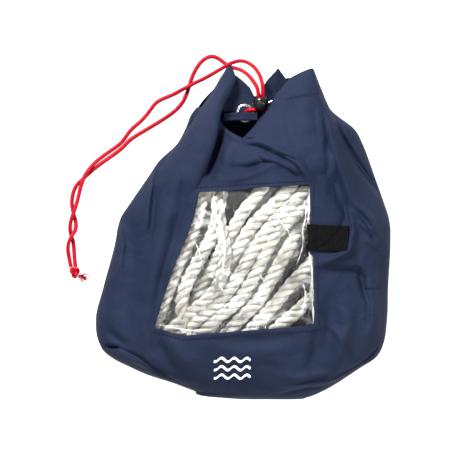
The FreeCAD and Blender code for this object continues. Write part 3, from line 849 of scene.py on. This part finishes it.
def build_knot(mat):
    """Tight overhand knot with short frayed ends."""
    turns = np.linspace(0, 2 * math.pi, 97)
    size, depth = 1.55, 2.0
    line = np.stack([(np.sin(turns) + 2 * np.sin(2 * turns)) * size,
                     (np.cos(turns) - 2 * np.cos(2 * turns)) * size, -np.sin(3 * turns) * depth], axis=1)
    line = line * (0.85, 1.0, 0.9) + KNOT
    knot = strand_tubes("drawstring_knot_tied", line * MM, mat, 1, 0.0, KNOT_CORD_R * MM, UNTWISTED, 12)
    rng = np.random.default_rng(4)
    parts = [knot]
    for i in range(FRAY_COUNT):
        spread = rng.normal(0, 0.55)
        start = np.array(FRAY_ROOT) + rng.normal(0, 0.7, 3) * (1, 1, 0.5)
        angle = FRAY_WAY + spread * 0.5
        out = np.array([math.cos(angle), math.sin(angle), 0])
        reach = rng.uniform(5, 11)
        s = np.linspace(0, 1, 12)[:, None]
        hair = start + out * reach * s + np.array([0, 0, -1.0]) * (start[2] - 0.5) * s**0.7
        hair[:, 1] += np.sin(s[:, 0] * 5 + i) * 0.5
        hair[:, 2] = np.maximum(hair[:, 2], 0.35)
        parts.append(strand_tubes(f"fray_{i}", hair * MM, mat, 1, 0.0, FRAY_R * MM, UNTWISTED, 6))
    return join(parts, "drawstring_knot_tied")


def join(parts, name):
    """Several mesh objects made into the first."""
    with bpy.context.temp_override(active_object=parts[0], object=parts[0], selected_objects=parts,
                                   selected_editable_objects=parts):
        bpy.ops.object.join()
    parts[0].name = name
    return parts[0]


ROPE_HELIX, ROPE_STRAND = 3.72, 3.36     # radius of the strands' helix and of one strand
ROPE_LAY = 0.030                         # length of one twist of the rope, in metres
ROPE_STEP = 0.0031                       # distance between the rings of a strand, in metres
RETURN_Z = 10.5                          # height of the hidden return runs
# Visible runs of the rope from lower left to upper right: x, y and depth of the centre below the upper cloth.
RUNS = [
    [(-98, -108, 16), (-84, -82, 13), (-75, -57, 12), (-67, -35, 12), (-57, -14, 13),
     (-50, 2, 14), (-42, 28, 17),
     (-38, 52, 25)],
    [(-46, -112, 18), (-57, -93, 13), (-62, -78, 13), (-61, -63, 13), (-56, -48, 14), (-49, -35, 16),
     (-40, -19, 18), (-30, 0, 22), (-24, 24, 24), (-20, 60, 24)],
    [(-92, -112, 18), (-68, -92, 14), (-50, -77, 13), (-36, -66, 11), (-27, -55, 10),
     (-21, -42, 9), (-18, -28, 9),
     (-18, -14, 9), (-22, 2, 10), (-25, 18, 11), (-27, 38, 13), (-26, 62, 24)],
    [(-78, -118, 26), (-56, -84, 28), (-40, -48, 28), (-26, -24, 26), (-13, -1, 18), (-7, 11, 13),
     (3, 26, 12),
     (15, 40, 12), (32, 64, 15)],
    [(-40, -116, 26), (-34, -76, 28), (-22, -44, 26), (-10, -23, 18), (-1, -7, 13), (8, 8, 12),
     (22, 21, 12),
     (37, 35, 12), (57, 58, 17)],
    [(-70, -106, 17), (-46, -85, 13), (-28, -72, 12), (-15, -58, 12), (-6, -44, 12), (3, -29, 12),
     (13, -12, 12),
     (23, 4, 12), (36, 18, 12), (52, 33, 13), (72, 54, 18)],
    [(-48, -104, 17), (-25, -82, 13), (-8, -70, 12), (3, -56, 12), (11, -42, 12), (20, -23, 12),
     (29, -4, 12),
     (41, 10, 13), (53, 20, 14), (74, 36, 18)],
    [(-28, -112, 17), (-11, -93, 13), (0, -81, 12), (13, -69, 12), (22, -55, 12), (31, -39, 12),
     (40, -22, 12),
     (48, -8, 15), (56, 6, 24), (80, 24, 28)],
    [(-12, -116, 18), (9, -93, 13), (21, -81, 12), (32, -69, 12), (43, -55, 12), (55, -42, 12),
     (66, -31, 13),
     (80, -14, 14), (100, 8, 18)],
    [(12, -114, 18), (36, -91, 13), (50, -80, 12), (60, -71, 14), (72, -61, 20), (87, -53, 28)],
]


def rope_route():
    """Runs that show in the window, joined by return runs on the floor; both ends lie in the whippings."""
    route = [(-63, 66.2, 30), (-52, 69, 30), (-43, 71.3, 30), (-28, 74, 28.5), (-16, 66, 26), (-22, 42, 26),
             (-42, 0, 26), (-70, -58, 26), (-84, -92, 26), (-98, -112, 30)]
    for k, run in enumerate(RUNS):
        for x, y, depth in run:
            route.append((x, y, float(crown_height(float(x), float(y))) - depth))
        if k + 1 == len(RUNS):
            break
        top, low = np.array(route[-1]), np.array(RUNS[k + 1][0][:2], float)
        way = (top[:2] - low) / np.linalg.norm(top[:2] - low)
        route.append((*(top[:2] + 14 * way), top[2] - 6))
        route.append((*(top[:2] + 15 * way), RETURN_Z + 8))
        route.append((*(top[:2] + 2 * way), RETURN_Z))
        for share in (0.25, 0.5, 0.75):
            route.append((*(top[:2] * (1 - share) + low * share), RETURN_Z))
        start = float(crown_height(float(low[0]), float(low[1]))) - RUNS[k + 1][0][2]
        route.append((*(low - 2 * way), RETURN_Z))
        route.append((*(low - 13 * way), RETURN_Z + 8))
        route.append((*(low - 12 * way), start - 6))
    return route + [(97, -48, 36), (101, -39, 34), (103, -28, 34), (105, -18, 34)]


def build_rope(mat):
    """Three twisted strands along the coil's line."""
    line = even(read_line(nurbs_curve(rope_route())), ROPE_STEP)
    rope = strand_tubes("coiled_rope", line, mat, 3, ROPE_HELIX * MM, ROPE_STRAND * MM, ROPE_LAY, 9)
    return rope, line


# ---------------------------------------------------------------- mouth
EAR_CREASES = [
    ([(4, 86.5), (14, 85.5), (24, 82), (30, 77)], 3.0, -6),
    ([(5, 92), (18, 90), (32, 83.5), (50, 75), (63, 63)], 3.6, 3.5),
    ([(32, 78), (42, 75), (53, 69.5)], 2.4, -5),
    ([(4, 76), (16, 76), (30, 72), (44, 66), (58, 58)], 3.4, 3),
    ([(8, 69), (24, 68), (40, 61), (54, 53)], 3.2, -3.5),
    ([(38, 131), (50, 134.6), (61, 137), (79, 137.8)], 1.5, -1.1),
    ([(47, 130), (44, 114), (47, 100), (53, 88)], 4.5, -1.6),
    ([(57, 128), (60, 108), (64, 88)], 6, 1.8),
    ([(70, 130), (71, 110), (74, 92)], 4, -1.6),
    ([(78, 126), (81, 108), (83, 92), (81, 74)], 3.2, -4.5),
    ([(86, 116), (89, 98), (92, 78)], 3.4, 2.4),
    ([(84, 100), (85.5, 86), (84, 66), (80, 54)], 3.0, -2.5),
]


def build_mouth(mat):
    """Rolled left fold, right fold with its ear, sunken middle, the peak behind it and the back."""
    left_roll = sheet_from_rails("left_roll", [
        [(-104, 30, 16), (-96, 56, 16), (-69, 86, 15), (-53, 108, 16), (-42, 126, 24),
         (-29, 145, 28), (-17, 165, 33)],
        [(-98, 30, 42), (-90, 56, 42), (-67, 86, 42), (-52.5, 108, 42), (-41, 126, 42),
         (-28.5, 145.5, 41), (-16.5, 166, 38)],
        [(-80, 28, 57), (-72, 54, 60), (-55, 84, 60.5), (-43.5, 107, 58), (-34.5, 125, 56),
         (-23.5, 146, 51), (-14.5, 167, 41)],
        [(-62, 26, 64), (-54, 52, 67), (-39, 82, 64.5), (-32, 106, 61), (-28, 124, 58.5),
         (-16, 148, 53), (-13, 167, 41)],
        [(-54, 24, 65), (-45, 50, 66), (-30.5, 84, 60), (-25, 107, 56.5), (-21.5, 124, 54),
         (-9, 151, 48), (-11, 165.5, 40)],
        [(-52, 22, 60), (-43, 48, 59), (-32, 83, 53), (-27, 106, 49), (-24, 123, 46),
         (-12, 150, 42), (-12, 163, 36)],
        [(-60, 22, 52), (-52, 48, 50), (-40, 83, 44), (-34, 106, 40), (-29, 123, 38),
         (-16, 149, 36), (-14, 162, 33)],
    ], mat, 90, 170, relief=0.5, seed=21)
    right_fold = sheet_from_rails("right_fold", [
        [(6, 82, 54), (12, 90, 50), (22, 105, 47), (33, 122, 45), (42, 138, 43), (50, 153, 40)],
        [(0.5, 88, 60), (3.5, 95.5, 56), (13, 107.5, 53), (24.5, 122, 50.5), (32.5, 137, 48),
         (46, 153.5, 44)],
        [(1.5, 86, 63), (4, 93, 62), (14, 105, 61), (25.5, 120, 59), (34, 136, 56), (47, 155, 47)],
        [(22, 70, 62), (24, 80, 67), (32, 96, 66.5), (41, 115, 64), (47, 134, 60), (53, 158.5, 49)],
        [(50, 55, 62), (50, 72, 68.5), (54, 92, 68), (59, 112, 66), (62, 134, 61), (60.5, 162, 50)],
        [(78, 46, 60), (77, 66, 67), (77, 90, 65.5), (77, 112, 61), (74, 134, 56), (67, 164.5, 48)],
        [(104, 46, 50), (99, 68, 57), (92, 92, 56), (87, 112, 52), (80, 132, 47), (69.5, 164, 45)],
        [(122, 48, 37), (113, 70, 43), (100, 95, 42), (92, 114, 39), (83.5, 130, 37), (70.3, 162, 40)],
        [(118, 50, 30), (108, 70, 30), (95, 95, 28), (86, 114, 27), (78, 128, 27), (68, 158, 33)],
    ], mat, 190, 220, relief=0.6, seed=22, creases=EAR_CREASES)
    middle = sheet_from_rails("mouth_middle", [
        [(-30, 92, 14), (-30, 107, 24), (-29, 122, 34), (-23, 138, 36), (-12, 161, 36)],
        [(-12, 93, 10), (-11, 107, 22), (-10, 121, 34.4), (-7, 138, 35), (-4, 155.5, 35.5)],
        [(0, 92, 9), (1, 107, 21), (1.5, 120, 34.5), (3, 132, 34.6), (6, 146.5, 35)],
        [(10, 94, 9), (11, 107, 21), (11, 118, 34.5), (11, 128, 34.6), (11.5, 137.5, 34.5)],
        [(24, 96, 10), (24, 107, 22), (24, 121, 34.5), (23, 130, 34.6), (20, 139, 34.4)],
        [(46, 98, 12), (46, 108, 24), (45, 123, 34.5), (43, 132, 34.6), (36, 142, 34.4)],
    ], mat, 80, 90, relief=0.15, seed=23)
    peak = sheet_from_rails("back_peak", [
        [(14, 118, 18), (17, 132, 22), (21.2, 150, 27), (34.2, 165, 30)],
        [(30, 118, 22), (31, 134, 26), (33, 151, 29), (34.9, 165.6, 30.5)],
        [(50, 118, 22), (50, 134, 25), (46, 150, 27), (36, 164.6, 30)],
    ], mat, 50, 60, relief=0.3, seed=24)
    back = sheet_from_rails("mouth_back", [
        [(-50, 110, 24), (-46, 126, 20), (-34, 141, 22), (-18, 155, 26)],
        [(-36, 110, 8), (-32, 126, 9), (-24, 142, 12), (-12, 158, 20)],
        [(10, 110, 6), (10, 122, 7), (10, 129, 9), (10, 135.5, 12)],
        [(34, 110, 6), (34, 126, 8), (36, 142, 12), (38, 155, 20)],
        [(76, 110, 9), (72, 126, 10), (68, 142, 14), (64, 156, 24)],
        [(94, 110, 26), (84, 126, 26), (76, 143, 28), (69, 160, 34)],
    ], mat, 90, 70, relief=0.4, seed=25)
    return [left_roll, right_fold, middle, peak, back]


# ---------------------------------------------------------------- stitching and small pieces
def height_on_cloth(x, y):
    """Height of the upper cloth at one place."""
    return float(top_height(np.array([x], float), np.array([y], float))[0])


def stitches(name, route, mat, pitch=3.4, length=2.3, radius=0.28, above=0.62, height=None):
    """Row of separate thread stitches along a route over the cloth."""
    route = np.array([(*p, 0.0) for p in route], float)
    line = even(resample(route, np.arange(len(route)), np.linspace(0, len(route) - 1, 400)), pitch)
    threads = []
    step = np.array([-1, -0.8, 0, 0.8, 1]) * length / 2
    rise = np.array([-0.55, -0.05, 0.12, -0.05, -0.55])
    angles = 2 * math.pi * np.arange(6) / 6
    for before, after in zip(line, line[1:]):
        way = (after - before) / np.linalg.norm(after - before)
        points = before + way * step[:, None]
        z = height(points[:, 0], points[:, 1]) if height else top_height(points[:, 0], points[:, 1])
        points[:, 2] = z + above + rise
        way = points[-1] - points[0]
        way /= np.linalg.norm(way)
        side = np.array([-way[1], way[0], 0.0])
        threads.append([[point + side * radius * math.cos(angle) + np.array([0, 0, radius * math.sin(angle)])
                         for angle in angles] for point in points])
    return thread_mesh(name, threads, mat)


def strip(name, corners, mat, height, thickness, rows=40, cols=60, round_edge=0.9):
    """Flat textile piece over four corners (left low, right low, right high, left high) with soft edges."""
    u = np.linspace(0, 1, cols)[None, :]
    v = np.linspace(0, 1, rows)[:, None]
    c = np.array(corners, float)
    x, y = ((c[0, i] * (1 - u) + c[1, i] * u) * (1 - v) + (c[3, i] * (1 - u) + c[2, i] * u) * v
            for i in range(2))
    low = height(x, y)
    wide = np.hypot(*(c[1] - c[0]))
    tall = np.hypot(*(c[3] - c[0]))
    edge = np.minimum(np.minimum(u, 1 - u) * wide, np.minimum(v, 1 - v) * tall)
    soft = np.sqrt(np.clip(1 - (1 - np.clip(edge / round_edge, 0, 1)) ** 2, 0, 1))
    upper, lower = (np.stack([x, y, low + thickness * (0.5 + half * soft)], axis=-1) for half in (0.5, -0.5))
    ring = np.concatenate([upper, lower[:, ::-1]], axis=1)
    mesh = grid_mesh(name, ring * MM, closed_u=True)
    mend(mesh, fill=True, weld=True)
    return add_object(name, mesh, mat)


def tab_height(x, y):
    """Underside of the hook tab: bridges the small folds beneath it."""
    return crown_height(x, y) + 0.35 * fold_relief(x, y) + 1.6 + 1.2 * smoothstep(96, 106, x)


def build_tab():
    """Hook-and-loop tab with its box stitching."""
    corners = [(64.3, -16.6), (102.8, -17.9), (104.2, 7.0), (62.3, 9.4)]
    tab = strip("hook_tab", corners, hooks_black, tab_height, 1.4)
    box = [(66.6, -14.4), (75, -14.7), (75, 6.6), (65.6, 7.0), (66.6, -14.4)]
    rows = [stitches(f"tab_stitch_{k}", ends, thread_black, 2.6, 1.9, 0.24, 1.45, tab_height)
            for k, ends in enumerate(zip(box, box[1:]))]
    return join([tab, *rows], "hook_tab")


def build_patch():
    """Reinforcing patch on the right flank with its stitched border."""
    inset = [(119.8, -55.2), (137.2, -54.6), (137.8, -22.5), (120.4, -22.8)]
    patch = strip("flank_patch", inset, navy, lambda x, y: top_height(x, y) + 0.1, 0.9)
    border = [(121.6, -53.4), (135.6, -52.9), (136.1, -24.3), (122.0, -24.6), (121.6, -53.4)]
    rows = [stitches(f"patch_stitch_{k}", ends, thread_navy_shaded, 2.8, 2.0, 0.24, 0.95)
            for k, ends in enumerate(zip(border, border[1:]))]
    return join([patch, *rows], "flank_patch")


def build_motif():
    """Three embroidered waves, each a row of slanted satin stitches."""
    first_row, row_gap = -125.0, 8.5
    wave_height, wave_length = 1.9, 12.5
    slant, half_stitch, radius = 0.35, 1.15, 0.36
    parts = []
    for row in range(3):
        threads = []
        for x in np.arange(-29.0, 6.5, 0.62):
            y = first_row - row_gap * row + wave_height * math.sin(2 * math.pi * x / wave_length)
            rings = []
            for s in np.linspace(0, 1, 5):
                px, py = x + slant * (2 * s - 1), y + half_stitch * (2 * s - 1)
                z = height_on_cloth(px, py) + 0.45 + 0.5 * math.sin(math.pi * s)
                rings.append([(px + radius * math.cos(angle), py, z + radius * math.sin(angle))
                              for angle in 2 * math.pi * np.arange(6) / 6])
            threads.append(rings)
        parts.append(thread_mesh(f"wave_{row}", threads, thread_white, first_cap_out=False))
    return join(parts, "embroidered_waves")


def build_mouth_tab():
    """Folded webbing tab over the left eyelet, its lower edge rolled."""
    u = np.linspace(0, 1, 60)
    profile_angle = np.linspace(0, 2 * math.pi, 40, endpoint=False)
    half_wide, half_thick = 4.1, 0.95
    points = []
    for share in u:
        x = -19.5 + 34.0 * share
        y = 116.6 + 0.4 * math.sin(2.5 * share)
        z = 39.25 + 0.3 * math.sin(3.0 * share)
        squeeze = math.sqrt(max(0.05, 1 - max(0.0, (share - 0.975) / 0.025) ** 2))
        ring = []
        for angle in profile_angle:
            cy = math.copysign(abs(math.cos(angle)) ** 0.45, math.cos(angle)) * half_wide
            cz = math.copysign(abs(math.sin(angle)) ** 0.9, math.sin(angle)) * half_thick * squeeze
            ring.append((x, y + cy, z + cz + 0.10 * cy + 0.55 * math.exp(-((cy + 3.0) / 1.2) ** 2)))
        points.append(ring)
    mesh = grid_mesh("mouth_webbing", np.array(points) * MM, closed_u=True)
    mend(mesh, fill=True)
    return add_object("mouth_webbing", mesh, webbing)


def build_eyelets():
    """Domed metal rims turned round their holes: two on the mouth's floor, six in the hidden pleats."""
    profile = [(6.6, -3.4), (6.0, -3.2), (5.9, 0.2), (6.4, 0.9), (7.4, 1.35), (8.4, 1.35),
               (9.3, 0.9), (9.9, 0.25),
               (9.8, 0.05), (8.4, 0.75), (7.2, 0.6), (6.5, 0.0)]
    places = [(Vector((1.5, 120.5, 35.0)), 0), (Vector((30.5, 124.5, 35.0)), 0)]
    places += [(Vector((x + 0.8, 122.0, 20.5)), 1) for x in (-36, -26, -16, -6, 10, 20)]
    parts = []
    for count, (place, turned) in enumerate(places):
        rings = []
        for angle in 2 * math.pi * np.arange(72) / 72:
            ring = []
            for r, z in profile:
                local = (r * math.cos(angle), r * math.sin(angle), z)
                if turned:
                    local = (local[2], local[1], -local[0])
                ring.append([place[i] + local[i] for i in range(3)])
            rings.append(ring)
        rings.append(rings[0])
        mesh = grid_mesh(f"eyelet_{count}", np.array(rings) * MM, closed_u=True)
        mend(mesh, weld=True)
        parts.append(add_object(f"eyelet_{count}", mesh, nickel))
    return join(parts, "eyelet_rims")


def ear_height(x, y):
    """Upper face of the right ear, which slopes down towards its edge and its tip."""
    return 60.5 - 0.42 * (y - 134) - 0.0125 * (x - 60) ** 2


def seam_rows():
    """Stitching round the window and along the base seam."""
    rows = []
    window = [((-46, 45.5), (68.5, 52.5)), ((69.5, 51), (68, 14)), ((72.5, -24), (74.5, -93)),
              ((73, -96), (21, -98.8)), ((21, -98.8), (-60, -105)), ((-60, -105), (-92, -96.5))]
    for k, ends in enumerate(window):
        rows.append(stitches(f"window_stitch_{k}", ends, thread_navy_shaded))
    base = [[(-138, -113.5), (-119, -119.5), (-104.5, -126.5), (-92, -136.5), (-78, -145)],
            [(92, -145), (106, -137.5), (121, -128.5), (134, -116)]]
    for k, route in enumerate(base):
        rows.append(stitches(f"base_stitch_{k}", route, thread_navy_shaded))
    hem = [(40, 131), (50, 134.6), (61, 137), (76, 137.8)]
    rows.append(stitches("hem_stitch", hem, thread_navy_shaded, above=1.9, height=ear_height))
    return join(rows, "seam_stitching")


# ---------------------------------------------------------------- assembly
add_camera()
add_studio()
wall = build_body(navy)
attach(wall, "bag")
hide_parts("front_panel", "back_panel", "base_panel", "mouth_hem", "side_seam_tape",
            "base_seam_binding", "window_binding")

mouth_layers = build_mouth(navy)
for piece in mouth_layers:
    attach(piece, "bag")

rope, rope_line = build_rope(yarn)
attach(rope, "bag")
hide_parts("rope_coil")

knot = build_knot(red)
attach(knot, "bag")
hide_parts("drawstring_knot")
ring = build_cord("drawstring_run", RING_ROUTE, red)
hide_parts("drawstring_ring")
tail_right = build_cord("tail_right", TAIL_RIGHT, red)
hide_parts("drawstring_tail_right")
tail_left = build_cord("tail_left", TAIL_LEFT, red)
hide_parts("drawstring_tail_left")
for piece in (ring, tail_right, tail_left):
    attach(piece, "bag")

film = join([build_film(film_clear), *film_ribbons(film_painted_highlight)], "window_sheet")
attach(film, "bag")
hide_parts("window_film")

tab = build_tab()
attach(tab, "closure_tab")
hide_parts("closure_tab")
patch = build_patch()
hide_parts("side_patch")
motif = build_motif()
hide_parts("embroidered_motif")
rims = build_eyelets()
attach(rims, "bag")
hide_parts("eyelets")
webbing_tab = build_mouth_tab()
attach(webbing_tab, "mouth_tab")
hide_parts("mouth_tab")
seams = seam_rows()
for piece, slot_name in ((patch, "bag_cloth"), (motif, "embroidery_white"), (seams, "bag_cloth")):
    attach(piece, "bag")

for name, mat in {"eyelets": nickel, "eyelet_washers": nickel, "cord_lock_body": black_plastic,
                  "cord_lock_plunger": black_plastic, "cord_lock_spring": steel, "rope_whippings": webbing,
                  "closure_loop_patch": hooks_black}.items():
    for place in nodes[name].material_slots:
        place.material = mat
